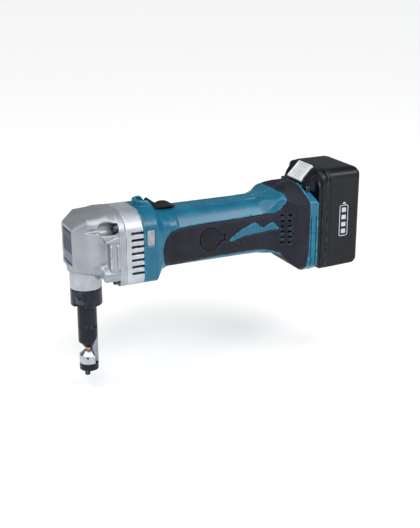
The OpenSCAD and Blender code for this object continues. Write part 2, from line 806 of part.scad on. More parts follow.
module battery_case() color(black) on_axis() difference() {
    intersection() {
        along_x(split_x + 0.05, battery_rear)
            rounded_section(battery_half_w, battery_top, battery_bottom, 14, 6);
        along_y(-50, 50) polygon([
            [split_x, battery_top], [battery_rear - 7, battery_top], [battery_rear - 2, battery_top - 2],
            [battery_rear, battery_top - 7], [battery_rear, 9 - battery_bottom],
            [battery_rear - 6.2, 4.5 - battery_bottom], [split_x, 2.4 - battery_bottom]
        ]);
    }
    // space for the cells, which follows the slope of the lower rear edge
    along_y(-34.5, 34.5) polygon([
        [split_x - 1, -cell_space], [battery_rear - 8, -cell_space], [battery_rear - 2.2, -43],
        [battery_rear - 2.2, 48], [split_x - 1, 48]
    ]);
    battery_screw_places() rod_x(split_x - 1, split_x + 12, 1.6);
}

// Two layers of five cylindrical cells
module battery_cells() color("#3f8f6a") on_axis()
    for (x = [cell_front_x, cell_front_x + 18.6], i = [0 : 4])
        translate([x, 0, cell_top_z - i * 18.9]) rod_y(-32.5, 32.5, cell_r);

module battery_contacts() color(brass) on_axis()
    for (y = [-blade_y, 0, blade_y], side = [-1, 1])
        translate([0, y + side * 0.95, 0]) block([243, -0.2, blade_low + 4], [249, 0.2, blade_high - 2]);

module battery_screw_places() for (y = [-31, 31], z = [-49.9, 53]) translate([0, y, z]) children();

module battery_screws() color(steel) on_axis() battery_screw_places() {
    rod_x(split_x + 0.05, split_x + 11, 1.5);
}

gear_housing();
nameplate();
gear_cover();
flange_bolts();
crankshaft();
crank_gear();
front_crank_bearing();
rear_crank_bearing();
connecting_rod();
ram();
wrist_pin();
nose_sleeve();
lock_nut();
punch();
die_holder();
die();
die_bolts();
armature_shaft();
armature_core();
armature_windings();
commutator();
fan();
front_motor_bearing();
rear_motor_bearing();
stator_yoke();
stator_magnets();
baffle_plate();
left_brush_holder();
right_brush_holder();
left_brush();
right_brush();
left_brush_spring();
right_brush_spring();
brush_caps();
left_brush_cover();
right_brush_cover();
left_housing();
right_housing();
left_grip();
right_grip();
housing_screws();
left_lamp();
right_lamp();
switch_knob();
switch_rod();
switch_unit();
control_board();
terminal_block();
lead_wires();
battery_case();
battery_cover();
battery_cells();
battery_contacts();
battery_screws();
release_button();
battery_latch();
release_spring();
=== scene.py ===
"""Looks for the cordless metal nibbler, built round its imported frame. Sizes are in millimetres
about the motor's axis until a mesh is made; meshes are in metres."""
import json
import math
import bpy
import numpy as np
from mathutils import Matrix, Vector


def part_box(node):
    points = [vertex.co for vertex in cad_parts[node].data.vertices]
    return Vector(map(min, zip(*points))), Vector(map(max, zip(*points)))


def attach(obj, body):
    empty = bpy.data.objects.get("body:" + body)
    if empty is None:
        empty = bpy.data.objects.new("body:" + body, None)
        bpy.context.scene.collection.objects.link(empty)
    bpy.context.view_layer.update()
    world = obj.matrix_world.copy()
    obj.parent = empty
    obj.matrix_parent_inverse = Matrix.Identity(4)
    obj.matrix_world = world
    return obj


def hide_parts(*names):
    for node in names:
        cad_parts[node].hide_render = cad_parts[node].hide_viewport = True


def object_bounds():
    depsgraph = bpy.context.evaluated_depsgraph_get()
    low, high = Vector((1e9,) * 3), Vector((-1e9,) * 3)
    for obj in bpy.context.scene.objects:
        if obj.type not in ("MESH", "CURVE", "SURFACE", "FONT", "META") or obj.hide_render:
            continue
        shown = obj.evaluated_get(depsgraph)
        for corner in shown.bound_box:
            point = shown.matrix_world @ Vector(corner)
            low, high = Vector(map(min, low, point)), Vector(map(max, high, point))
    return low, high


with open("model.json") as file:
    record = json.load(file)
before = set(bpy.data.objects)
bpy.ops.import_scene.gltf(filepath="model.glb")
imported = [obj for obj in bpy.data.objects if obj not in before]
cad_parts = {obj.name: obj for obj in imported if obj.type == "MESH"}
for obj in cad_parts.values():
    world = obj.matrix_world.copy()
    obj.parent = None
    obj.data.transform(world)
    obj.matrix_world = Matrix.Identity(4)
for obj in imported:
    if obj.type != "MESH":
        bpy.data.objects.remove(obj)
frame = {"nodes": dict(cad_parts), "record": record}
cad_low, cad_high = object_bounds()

MM = 0.001
yoke_low, yoke_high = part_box("stator_yoke")
AXIS_Z = (yoke_low.z + yoke_high.z) / 2 / MM   # height of the motor's axis


def edge_of(node, corner, axis):
    """One side of a CAD node's box, about the motor's axis."""
    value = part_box(node)[corner]["xyz".index(axis)] / MM
    return value - AXIS_Z if axis == "z" else value


# ---------- distance fields ----------

def slab(v, low, high):
    return np.abs(v - (low + high) / 2) - (high - low) / 2


def prism(outline_distance, along, edge=0.0):
    """An outline pulled along a third direction, with rounded rims."""
    u, v = outline_distance + edge, along + edge
    return np.minimum(np.maximum(u, v), 0) + np.hypot(np.maximum(u, 0), np.maximum(v, 0)) - edge


def brick(x, y, z, low, high, edge=0.0):
    flat = prism(slab(x, low[0], high[0]), slab(y, low[1], high[1]), edge)
    return prism(flat, slab(z, low[2], high[2]), edge)


def join(a, b, blend=0.0):
    if not blend:
        return np.minimum(a, b)
    h = np.maximum(blend - np.abs(a - b), 0) / blend
    return np.minimum(a, b) - h * h * blend / 4


def both(a, b, blend=0.0):
    return -join(-a, -b, blend)


def cut(a, b, blend=0.0):
    return both(a, -b, blend)


def section(y, z, half_w, top, bottom, r_top, r_low):
    """A rounded outline across the tool, with its own corner radius above and below."""
    rise = z - (top - bottom) / 2
    r = np.where(rise > 0, r_top, r_low)
    u = np.abs(y) - half_w + r
    v = np.abs(rise) - (top + bottom) / 2 + r
    return np.minimum(np.maximum(u, v), 0) + np.hypot(np.maximum(u, 0), np.maximum(v, 0)) - r


def smooth_loop(points, rounds=3):
    """Corner cutting, which turns a few points into a soft closed outline."""
    loop = np.array(points, float)
    for _ in range(rounds):
        after = np.roll(loop, -1, axis=0)
        loop = np.stack([loop * 0.75 + after * 0.25, loop * 0.25 + after * 0.75], 1).reshape(-1, 2)
    return loop


def inside_loop(a, b, loop):
    """Signed distance to a closed outline, below 0 inside."""
    a, b = np.broadcast_arrays(a, b)
    near = np.full(a.shape, 1e9)
    odd = np.zeros(a.shape, bool)
    for (a0, b0), (a1, b1) in zip(loop, np.roll(loop, -1, axis=0)):
        da, db = a1 - a0, b1 - b0
        t = np.clip(((a - a0) * da + (b - b0) * db) / (da * da + db * db + 1e-12), 0, 1)
        near = np.minimum(near, (a - a0 - t * da) ** 2 + (b - b0 - t * db) ** 2)
        if db:
            odd ^= ((b0 > b) != (b1 > b)) & (a < a0 + (b - b0) * da / db)
    return np.where(odd, -1, 1) * np.sqrt(near)


# ---------- meshes from fields ----------

def net(field, low, high, step):
    """Surface net of a field: one point in each cell that the surface crosses, pulled onto it."""
    grids = [np.arange(a - 1.5 * step, b + 2.6 * step, step) for a, b in zip(low, high)]
    shape = [len(g) for g in grids]
    values = np.array(np.broadcast_to(field(*np.meshgrid(*grids, indexing="ij", sparse=True)), shape))
    for axis in range(3):
        for end in (0, -1):
            rim = [slice(None)] * 3
            rim[axis] = end
            values[tuple(rim)] = np.maximum(values[tuple(rim)], step)
    quads, spots = [], []
    span = np.array([shape[1] * shape[2], shape[2], 1])
    for axis in range(3):
        count = shape[axis]
        first = np.take(values, range(count - 1), axis)
        second = np.take(values, range(1, count), axis)
        at = np.argwhere((first < 0) != (second < 0))
        v0, v1 = first[tuple(at.T)], second[tuple(at.T)]
        spot = at.astype(float)
        spot[:, axis] += v0 / (v0 - v1)
        u, v = np.eye(3, dtype=int)[(axis + 1) % 3], np.eye(3, dtype=int)[(axis + 2) % 3]
        ring = np.stack([(at - u - v) @ span, (at - v) @ span, at @ span, (at - u) @ span], 1)
        ring[v0 > 0] = ring[v0 > 0][:, ::-1]
        quads.append(ring)
        spots.append(spot)
    quads, spots = np.concatenate(quads), np.concatenate(spots)
    cells, index = np.unique(quads, return_inverse=True)
    index = index.reshape(-1, 4)
    uses = np.bincount(index.ravel(), minlength=len(cells)).astype(float)
    points = np.stack([
        np.bincount(index.ravel(), np.repeat(spots[:, k], 4), len(cells)) / uses for k in range(3)], 1)
    points = points * step + [g[0] for g in grids]
    for _ in range(2):
        value, slope = field(*points.T), gradient(field, points, 0.05)
        move = value / np.maximum((slope ** 2).sum(1), 0.25)
        points -= np.clip(move, -step * 0.6, step * 0.6)[:, None] * slope
    return points, index


def gradient(field, points, reach):
    slope = np.empty_like(points)
    for axis in range(3):
        ahead, behind = points.copy(), points.copy()
        ahead[:, axis] += reach
        behind[:, axis] -= reach
        slope[:, axis] = (field(*ahead.T) - field(*behind.T)) / (2 * reach)
    return slope


def mesh_piece(name, points, faces, finishes, pick=None):
    """A smooth object from points about the motor's axis. pick(centres) chooses among finishes."""
    mesh = bpy.data.meshes.new(name)
    mesh.from_pydata(((points + [0, 0, AXIS_Z]) * MM).tolist(), [], faces.tolist())
    for finish in finishes:
        mesh.materials.append(finish)
    if pick is not None:
        mesh.polygons.foreach_set("material_index", pick(points[faces].mean(1)).astype(np.int32))
    mesh.shade_smooth()
    mesh.update()
    made = bpy.data.objects.new(name, mesh)
    bpy.context.scene.collection.objects.link(made)
    return made


def stand_in(made, body, slot, *nodes):
    """Puts a piece on its body in place of the CAD nodes that it details."""
    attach(made, body)
    if nodes:
        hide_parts(*nodes)


def carve(name, field, low, high, step, body, slot, nodes, finishes, pick=None):
    points, faces = net(field, low, high, step)
    made = mesh_piece(name, points, faces, finishes, pick)
    stand_in(made, body, slot, *nodes)
    return made


# ---------- finishes ----------

class Value:
    """A number on a node's socket. An expression on values adds its Math nodes."""

    def __init__(self, nodes, socket):
        self.nodes, self.socket = nodes, socket

    def math(self, operation, first, second=0.0):
        return self.nodes.node("ShaderNodeMath", {"operation": operation}, {0: first, 1: second})

    def __add__(self, other):
        return self.math("ADD", self, other)

    __radd__ = __add__

    def __sub__(self, other):
        return self.math("SUBTRACT", self, other)

    def __mul__(self, other):
        return self.math("MULTIPLY", self, other)

    __rmul__ = __mul__

    def __truediv__(self, other):
        return self.math("DIVIDE", self, other)

    def __gt__(self, other):
        return self.math("GREATER_THAN", self, other)

    def __lt__(self, other):
        return self.math("LESS_THAN", self, other)


class Nodes:
    """A tree of nodes, for a finish or for Geometry Nodes."""

    def __init__(self, tree):
        self.tree = tree

    def node(self, kind, settings=None, values=None, out=0):
        made = self.tree.nodes.new(kind)
        for key, value in (settings or {}).items():
            setattr(made, key, value)
        for key, value in (values or {}).items():
            self.feed(made.inputs[key], value)
        return Value(self, made.outputs[out])

    def feed(self, socket, value):
        if isinstance(value, Value):
            self.tree.links.new(value.socket, socket)
        else:
            socket.default_value = value


class Finish(Nodes):
    """One material, and the socket that each value feeds."""

    def __init__(self, name):
        self.material = bpy.data.materials.new(name)
        self.material.use_nodes = True
        super().__init__(self.material.node_tree)
        self.shader = self.tree.nodes["Principled BSDF"]
        self.place = self.node("ShaderNodeTexCoord", out="Object")

    def set(self, **values):
        for key, value in values.items():
            self.feed(self.shader.inputs[key.replace("_", " ")], value)

    def noise(self, size, detail=3.0, stretch=(1, 1, 1)):
        """Soft noise whose patches are about size metres across, longer along a stretched axis."""
        at = self.node("ShaderNodeMapping", None, {"Vector": self.place, "Scale": [1 / s for s in stretch]})
        return self.node("ShaderNodeTexNoise", None, {
            "Vector": at, "Scale": 1 / size, "Detail": detail}, "Fac")

    def ramp(self, value, low, high):
        return self.node("ShaderNodeMapRange", {"clamp": True}, {
            "Value": value, "From Min": low, "From Max": high})

    def mix(self, factor, first, second):
        return self.node("ShaderNodeMix", {"data_type": "RGBA"}, {0: factor, 6: first, 7: second}, 2)

    def axis(self, which):
        return self.node("ShaderNodeSeparateXYZ", None, {0: self.place}, which)


def srgb(red, green, blue):
    def linear(c):
        c /= 255
        return c / 12.92 if c <= 0.04045 else ((c + 0.055) / 1.055) ** 2.4
    return (linear(red), linear(green), linear(blue), 1.0)


def surface(name, dark, light, rough, metal=0.0, grain=0.0007, relief=0.00003, patch=0.02,
            rubbed=None, coat=0.0, stretch=(1, 1, 1), spread=0.12, gloss=0.5):
    """A finish with mottled colour, rubbed edges, uneven gloss and a fine relief."""
    f = Finish(name)
    mottle = f.noise(patch)
    fine = f.noise(grain, 2.0, stretch)
    colour = f.mix(f.ramp(mottle, 0.3, 0.7), dark, light)
    wear = f.ramp(f.node("ShaderNodeNewGeometry", out="Pointiness"), 0.515, 0.57)
    wear = wear * f.ramp(f.noise(0.005), 0.38, 0.62)
    colour = f.mix(wear * 0.8, colour, rubbed or light)
    f.set(Base_Color=colour, Roughness=rough + (mottle - 0.5) * spread + (fine - 0.5) * spread,
          Metallic=metal, Coat_Weight=coat, Specular_IOR_Level=gloss)
    f.set(Normal=f.node("ShaderNodeBump", None, {
        "Height": fine, "Distance": relief, "Strength": 0.6}, "Normal"))
    return f


def printed_plate():
    """Dark blue plate with plain slanting bars printed near its top and over its lower half."""
    f = Finish("plate_ink")
    fine = f.noise(0.0004, 2.0)
    height = f.axis("Z") * 1000 - AXIS_Z
    slant = f.axis("Y") * 1000 - height * 0.7
    bars = (f.node("ShaderNodeMath", {"operation": "PINGPONG"}, {0: slant, 1: 2.0}) > 1.25)
    low_bars = (height < -3) * (height > -12.5)
    top_bars = (height > 10.5) * (height < 17.5) * 0.35
    lines = (f.node("ShaderNodeMath", {"operation": "PINGPONG"}, {0: height, 1: 1.1}) > 0.75) * 0.18
    ground = f.mix(f.ramp(f.noise(0.01), 0.3, 0.7), srgb(24, 36, 58), srgb(36, 50, 74))
    ink = bars * (low_bars + top_bars) + lines * (height > -2) * (height < 10)
    f.set(Base_Color=f.mix(ink * (0.75 + fine * 0.25), ground, srgb(170, 182, 198)),
          Roughness=0.42 + fine * 0.15, Specular_IOR_Level=0.15,
          Normal=f.node("ShaderNodeBump", None, {
              "Height": fine, "Distance": 0.00001, "Strength": 0.5}, "Normal"))
    return f


FINE = dict(grain=0.0004, relief=0.00001, spread=0.08)
finishes = {
    "cast_aluminium": surface("cast_aluminium", srgb(134, 139, 145), srgb(154, 159, 165), 0.4, 0.6,
                              relief=0.00005, rubbed=srgb(216, 221, 226)),
    "cover_aluminium": surface("cover_aluminium", srgb(150, 156, 163), srgb(172, 178, 185), 0.38, 0.5,
                               relief=0.00004, rubbed=srgb(222, 226, 230)),
    "machined_steel": surface("machined_steel", srgb(118, 124, 134), srgb(152, 158, 168), 0.3, 0.9,
                              stretch=(9, 1, 1), **FINE),
    "bright_steel": surface("bright_steel", srgb(158, 162, 168), srgb(196, 200, 204), 0.18, 0.9, **FINE),
    "turned_steel": surface("turned_steel", srgb(140, 146, 154), srgb(172, 177, 184), 0.27, 0.75,
                            stretch=(30, 30, 1), **FINE),
    "black_steel": surface("black_steel", srgb(12, 16, 25), srgb(22, 28, 39), 0.22, 0.25,
                           rubbed=srgb(84, 94, 110), gloss=0.25, **FINE),
    "teal_plastic": surface("teal_plastic", srgb(2, 76, 102), srgb(7, 90, 116), 0.3,
                            rubbed=srgb(48, 146, 172), gloss=0.35),
    "grip_rubber": surface("grip_rubber", srgb(23, 23, 31), srgb(34, 34, 44), 0.62, grain=0.0009,
                           relief=0.0001, rubbed=srgb(66, 70, 82), gloss=0.14),
    "black_plastic": surface("black_plastic", srgb(12, 14, 19), srgb(24, 26, 33), 0.45,
                             rubbed=srgb(62, 68, 80), gloss=0.16),
    "battery_plastic": surface("battery_plastic", srgb(7, 9, 14), srgb(14, 18, 26), 0.3,
                               rubbed=srgb(64, 72, 86), gloss=0.2),
    "button_plastic": surface("button_plastic", srgb(186, 190, 191), srgb(206, 209, 209), 0.4),
    "lamp_lens": surface("lamp_lens", srgb(104, 112, 120), srgb(142, 140, 146), 0.14, patch=0.006,
                         coat=0.3, **FINE),
    "copper": surface("copper", srgb(174, 118, 98), srgb(204, 158, 138), 0.28, 0.8, **FINE),
    "brass": surface("brass", srgb(180, 144, 74), srgb(210, 178, 108), 0.32, 0.85, **FINE),
    "carbon": surface("carbon", srgb(30, 30, 34), srgb(46, 46, 52), 0.6),
    "fan_plastic": surface("fan_plastic", srgb(200, 200, 194), srgb(218, 218, 212), 0.5),
    "dark_iron": surface("dark_iron", srgb(66, 68, 74), srgb(90, 92, 98), 0.5, 0.7),
    "board": surface("board", srgb(16, 78, 50), srgb(26, 98, 64), 0.45),
    "wire": surface("wire", srgb(140, 22, 26), srgb(168, 36, 38), 0.45),
    "cell_wrap": surface("cell_wrap", srgb(22, 100, 74), srgb(36, 126, 92), 0.3, coat=0.3),
    "plate_ink": printed_plate(),
    "mark_ink": surface("mark_ink", srgb(150, 158, 168), srgb(176, 184, 192), 0.4, **FINE),
}


def look(slot):
    return finishes[slot].material


# ---------- repeated pieces, made with Geometry Nodes ----------

class Tree(Nodes):
    """A Geometry Nodes tree with named sizes in metres. Its result is taken as a plain mesh."""

    def __init__(self, name, **sizes):
        super().__init__(bpy.data.node_groups.new(name, "GeometryNodeTree"))
        self.sizes, self.sockets = sizes, {}
        sockets = self.tree.interface
        sockets.new_socket("Geometry", in_out="OUTPUT", socket_type="NodeSocketGeometry")
        for key, value in sizes.items():
            kind = "NodeSocketInt" if isinstance(value, int) else "NodeSocketFloat"
            self.sockets[key] = sockets.new_socket(key, in_out="INPUT", socket_type=kind).identifier
        self.given = self.tree.nodes.new("NodeGroupInput")
        self.last = self.tree.nodes.new("NodeGroupOutput")

    def size(self, key):
        return Value(self, self.given.outputs[key])

    def rod(self, radius, depth, sides=40):
        return self.node("GeometryNodeMeshCylinder", None, {
            "Vertices": sides, "Radius": radius, "Depth": depth})

    def move(self, shape, x=0.0, y=0.0, z=0.0):
        place = self.node("ShaderNodeCombineXYZ", None, {"X": x, "Y": y, "Z": z})
        return self.node("GeometryNodeTransform", None, {"Geometry": shape, "Translation": place})

    def carved(self, first, *others):
        return self.boolean("DIFFERENCE", {"Mesh 1": first}, others)

    def merged(self, *parts):
        return self.boolean("UNION", {}, parts)

    def boolean(self, operation, values, others):
        made = self.node("GeometryNodeMeshBoolean", {"operation": operation, "solver": "EXACT"}, values)
        for other in others:
            self.tree.links.new(other.socket, made.socket.node.inputs["Mesh 2"])
        return made

    def together(self, *parts):
        made = self.node("GeometryNodeJoinGeometry")
        for part in parts:
            self.tree.links.new(part.socket, made.socket.node.inputs[0])
        return made

    def copies(self, points, shape, rotation=(0, 0, 0)):
        return self.node("GeometryNodeInstanceOnPoints", None, {
            "Points": points, "Instance": shape, "Rotation": rotation})

    def grid(self, width, depth, columns, rows):
        return self.node("GeometryNodeMeshGrid", None, {
            "Size X": width, "Size Y": depth, "Vertices X": columns, "Vertices Y": rows})

    def piece(self, name, shape, finish, place):
        """Runs the tree on an empty mesh and keeps the result, moved by place."""
        whole = self.node("GeometryNodeRealizeInstances", None, {0: shape})
        self.feed(self.last.inputs[0], self.node("GeometryNodeSetMaterial", None, {
            "Geometry": whole, "Material": finish}))
        made = bpy.data.objects.new(name, bpy.data.meshes.new(name + "_seed"))
        bpy.context.scene.collection.objects.link(made)
        modifier = made.modifiers.new("build", "NODES")
        modifier.node_group = self.tree
        for key, socket in self.sockets.items():
            modifier[socket] = self.sizes[key]
        ready = made.evaluated_get(bpy.context.evaluated_depsgraph_get())
        mesh = bpy.data.meshes.new_from_object(ready)
        made.modifiers.clear()
        made.data = mesh
        mesh.transform(place)
        mesh.shade_smooth()
        mesh.set_sharp_from_angle(angle=math.radians(35))
        return made


def place_at(x, y, z, along="z"):
    """Turns a tree's Z onto an axis of the tool and moves it, in millimetres about the motor."""
    turns = {"z": ((1, 0, 0), (0, 1, 0), (0, 0, 1)), "-z": ((1, 0, 0), (0, -1, 0), (0, 0, -1)),
             "-x": ((0, -1, 0), (0, 0, 1), (-1, 0, 0)), "x": ((0, 1, 0), (0, 0, 1), (1, 0, 0)),
             "y": ((1, 0, 0), (0, 0, -1), (0, 1, 0))}
    turn = Matrix(turns[along]).transposed().to_4x4()
    return Matrix.Translation(Vector((x, y, z + AXIS_Z)) * MM) @ turn


def cap_screws(name, gap_x, gap_y, columns, rows, **sizes):
    """Socket-head screws on a grid: each head's underside is at 0 and its top faces +Z."""
    tree = Tree(name, Gap_X=gap_x * MM, Gap_Y=gap_y * MM, **{k: v * MM for k, v in sizes.items()})
    head_r, head_h, rim = tree.size("Head_Radius"), tree.size("Head_Height"), tree.size("Rim")
    shaft = tree.size("Shaft_Length")
    barrel = tree.move(tree.rod(head_r, head_h - rim), z=(head_h - rim) * 0.5)
    crown = tree.node("GeometryNodeMeshCone", None, {
        "Vertices": 40, "Radius Top": head_r - rim, "Radius Bottom": head_r, "Depth": rim * 1.02})
    crown = tree.move(crown, z=head_h - rim * 1.01)
    stem = tree.move(tree.rod(tree.size("Shaft_Radius"), shaft, 24), z=shaft * -0.5 + 0.0002)
    socket = tree.move(tree.rod(tree.size("Socket_Radius"), head_h, 6), z=head_h * 1.05)
    screw = tree.carved(tree.merged(barrel, crown, stem), socket)
    return tree, tree.copies(tree.grid(tree.size("Gap_X"), tree.size("Gap_Y"), columns, rows), screw)


def cooling_fan():
    tree = Tree("cooling_fan", Blades=13, Radius=29.2 * MM, Hub_Radius=8 * MM, Depth=9.4 * MM, Bore=4.05 * MM,
                Blade_Thickness=1.5 * MM, Blade_Bend=5.5 * MM)
    radius, hub, depth = tree.size("Radius"), tree.size("Hub_Radius"), tree.size("Depth")
    disc = tree.move(tree.rod(radius, 1.4 * MM, 72), z=depth - 0.7 * MM)
    middle = tree.move(tree.rod(hub, depth, 48), z=depth * 0.5)
    body = tree.carved(tree.merged(disc, middle), tree.rod(tree.size("Bore"), 0.05, 36))
    bend = tree.node("GeometryNodeCurveQuadraticBezier", None, {
        "Resolution": 8,
        "Start": tree.node("ShaderNodeCombineXYZ", None, {"X": hub * 0.96}),
        "Middle": tree.node("ShaderNodeCombineXYZ", None, {"X": radius * 0.6, "Y": tree.size("Blade_Bend")}),
        "End": tree.node("ShaderNodeCombineXYZ", None, {"X": radius * 0.985})})
    sheet = tree.node("GeometryNodeCurvePrimitiveQuadrilateral", None, {
        "Width": tree.size("Blade_Thickness"), "Height": depth - 1.6 * MM})
    blade = tree.node("GeometryNodeCurveToMesh", None, {
        "Curve": bend, "Profile Curve": sheet, "Fill Caps": True})
    blade = tree.move(blade, z=depth * 0.5 - 0.5 * MM)
    count = tree.size("Blades")
    hub_points = tree.node("GeometryNodePoints", None, {"Count": count})
    turn = tree.node("GeometryNodeInputIndex") * (2 * math.pi) / count
    turn = tree.node("ShaderNodeCombineXYZ", None, {"Z": turn})
    return tree, tree.together(body, tree.copies(hub_points, blade, turn))


def cells():
    """Two layers of five cells, each with a rolled shoulder and a raised end."""
    tree = Tree("cells", Radius=9.15 * MM, Length=64.0 * MM, Nub_Radius=3.2 * MM, Nub_Height=0.9 * MM,
                Layer_Gap=18.6 * MM, Row_Gap=18.9 * MM)
    radius, length, nub = tree.size("Radius"), tree.size("Length"), tree.size("Nub_Height")
    can = tree.merged(
        tree.rod(radius, length - 2 * MM, 32), tree.rod(radius - 0.8 * MM, length, 32),
        tree.move(tree.rod(tree.size("Nub_Radius"), nub * 2, 24), z=length * 0.5))
    spots = tree.grid(tree.size("Layer_Gap"), tree.size("Row_Gap") * 4, 2, 5)
    return tree, tree.copies(spots, can)


def grip_dots(sign):
    """Rows of small domes along the side of the grip, each on its curved surface."""
    tree = Tree("grip_dots", Length=52 * MM, Height=5 * MM, Dot_Radius=0.85 * MM, Columns=8, Rows=2,
                Half_Width=30.45 * MM, Corner=22 * MM)
    spots = tree.grid(tree.size("Length"), tree.size("Height"), tree.size("Columns"), tree.size("Rows"))
    flat = tree.node("GeometryNodeInputPosition")
    along = tree.node("ShaderNodeSeparateXYZ", None, {0: flat}, 0)
    rise = tree.node("ShaderNodeSeparateXYZ", None, {0: flat}, 1)
    height = rise + along * 0.12 - 10.5 * MM
    stagger = (rise > 0) * (tree.size("Length") * (1 / 14))
    corner = tree.size("Corner")
    drop = tree.node("ShaderNodeMath", {"operation": "MAXIMUM"}, {0: height * -1 - 8 * MM, 1: 0.0})
    reach = tree.node("ShaderNodeMath", {"operation": "SQRT"}, {0: corner * corner - drop * drop})
    side = (tree.size("Half_Width") - corner + reach) * sign
    spots = tree.node("GeometryNodeSetPosition", None, {"Geometry": spots, "Position": tree.node(
        "ShaderNodeCombineXYZ", None, {"X": along + stagger, "Y": side, "Z": height})})
    dot = tree.node("GeometryNodeMeshIcoSphere", None, {"Radius": tree.size("Dot_Radius"), "Subdivisions": 2})
    dot = tree.node("GeometryNodeTransform", None, {"Geometry": dot, "Scale": (1.0, 0.4, 1.0)})
    return tree, tree.copies(spots, dot)


# ---------- head ----------

NOSE_X = edge_of("nameplate", 0, "x") - 0.2
SEAM_X = edge_of("gear_housing", 1, "x")
FLANGE_X = 25.0
COLLAR_LOW = edge_of("gear_housing", 0, "z")
COLLAR_TOP = -24.0
HEAD_X = [NOSE_X, -4, 10, 16, FLANGE_X]
HEAD_ROWS = [[18, 26.4, 29.4, 31.8, 33], [24, 33.8, 34.8, 36.2, 36.5], [20, 24, 28, 33, 34],
             [4, 8, 12, 16, 20], [4, 8, 12, 12, 12]]
BOLTS = [(27, 22.5), (27, -31.5)]
CRANK_RISE = 17.1


def head(x, y, z):
    side = np.abs(y)
    body = prism(section(y, z, *(np.interp(x, HEAD_X, row) for row in HEAD_ROWS)), slab(x, NOSE_X, 26.5), 1.4)
    # shallow waist between the front facets and the flange
    waist = np.hypot(x - 11, (side - 47) * 0.9) - 19
    body = cut(body, both(waist, slab(z, -16, 16), 6), 5)
    body = join(body, prism(np.hypot(x, y) - 18.4, slab(z, COLLAR_TOP, -4), 1.2), 2)
    body = join(body, prism(np.hypot(x, y) - 16.35, slab(z, COLLAR_LOW, -20), 0.5), 0.8)
    flange = prism(section(y, z, 35.9, 36.4, 37.9, 24, 10), slab(x, FLANGE_X, SEAM_X), 0.7)
    body = join(body, flange, 1.2)
    # pillar between the bolts, with two bright ribs
    pillar = brick(x, side, z, (15, 24, -19), (FLANGE_X + 1, 34, 9), 1.3)
    for rib in (16.2, 23.4):
        pillar = join(pillar, brick(x, side, z, (rib - 1.1, 28, -17.5), (rib + 1.1, 35.4, 7.5), 1), 0.6)
    body = join(body, pillar, 2)
    # shelf under the upper bolt and boss over the lower one
    body = join(body, brick(x, side, z, (11, 22, 9.5), (FLANGE_X + 1, 34.6, 15.6), 1.6), 1.6)
    body = join(body, prism(np.hypot(side - 27, z + 25) - 8.2, slab(x, 8, FLANGE_X + 1), 3), 2)
    for bolt_y, bolt_z in BOLTS:
        reach = np.hypot(side - bolt_y, z - bolt_z)
        body = cut(body, both(reach - 6, slab(x, 8, FLANGE_X), 1.5), 1)
        body = np.maximum(body, 2.7 - reach)
    # scoop in front of the upper bolt
    scoop = np.sqrt((x - 13) ** 2 + ((side - 36) * 1.0) ** 2 + (z - 24) ** 2) - 11.5
    body = cut(body, scoop, 1.5)
    # rim round the nameplate
    plate = prism(slab(y, -13.6, 13.6), slab(z, -15.4, 20.6), 1)
    body = cut(body, both(plate, x - (NOSE_X + 0.8), 0.2), 0.4)
    # chambers
    crank = np.hypot(y, z - CRANK_RISE)
    body = np.maximum(body, -np.maximum(crank - 14.2, slab(x, -5.5, 40)))
    body = np.maximum(body, -np.maximum(crank - 16.6, x * -1 + 18.6))
    body = np.maximum(body, -np.maximum(np.hypot(y, z) - 8, 17.5 - x))
    body = np.maximum(body, -brick(x, y, z, (-4.8, -12.6, -26.9), (4.8, 12.6, CRANK_RISE)))
    return np.maximum(body, -np.maximum(np.hypot(x, y) - 12.05, z + 20))


def below_collar(centres):
    return (centres[:, 2] < COLLAR_TOP - 0.6) & (np.hypot(centres[:, 0], centres[:, 1]) < 17.5)


carve("head_casting", head, (edge_of("gear_housing", 0, "x"), -36.5, COLLAR_LOW), (SEAM_X, 36.5, 37), 0.62,
      "tool", "cast_aluminium", ["gear_housing"], [look("cast_aluminium"), look("turned_steel")],
      below_collar)


(bolt_y, upper_z), (_, lower_z) = BOLTS
tree, screws = cap_screws("flange_screws", upper_z - lower_z, 2 * bolt_y, 2, 2, Head_Radius=4.2,
                          Head_Height=4.8, Rim=0.5, Shaft_Radius=2.5, Shaft_Length=31.5, Socket_Radius=2.3)
stand_in(tree.piece("flange_screws", screws, look("black_steel"),
                    place_at(FLANGE_X, 0, (upper_z + lower_z) / 2, "-x")),
         "tool", "black_steel", "flange_bolts")


def cover(x, y, z):
    side = np.abs(y)
    body = prism(section(y, z, 35.9, 36.4, 37.9, 24, 10), slab(x, SEAM_X + 0.15, 50), 0.5)
    body = np.maximum(body, -np.maximum(np.hypot(y, z) - 32.5, 37.5 - x))
    for i in range(7):
        row = z - 17.1 + i * 6.87
        gap = np.where(x < 38.2, np.hypot(x - 38.2, row), np.abs(row)) - 1.4
        body = cut(body, both(gap, 24 - side), 0.5)
    body = join(body, prism(np.hypot(y, z) - 12.5, slab(x, 36, 43.8), 0.3))
    for bolt_y, bolt_z in BOLTS:
        body = np.maximum(body, 2.7 - np.hypot(side - bolt_y, z - bolt_z))
    body = np.maximum(body, -np.maximum(np.hypot(y, z - CRANK_RISE) - 8.1, x - 36.8))
    body = np.maximum(body, -np.maximum(np.hypot(y, z) - 9.6, 37.8 - x))
    return np.maximum(body, 6 - np.hypot(y, z))


carve("vented_cover", cover, (31.6, -36.5, -38.5), (50, 36.5, 37), 0.6, "tool", "cover_aluminium",
      ["gear_cover"], [look("cover_aluminium")])

# ---------- housing and grip ----------

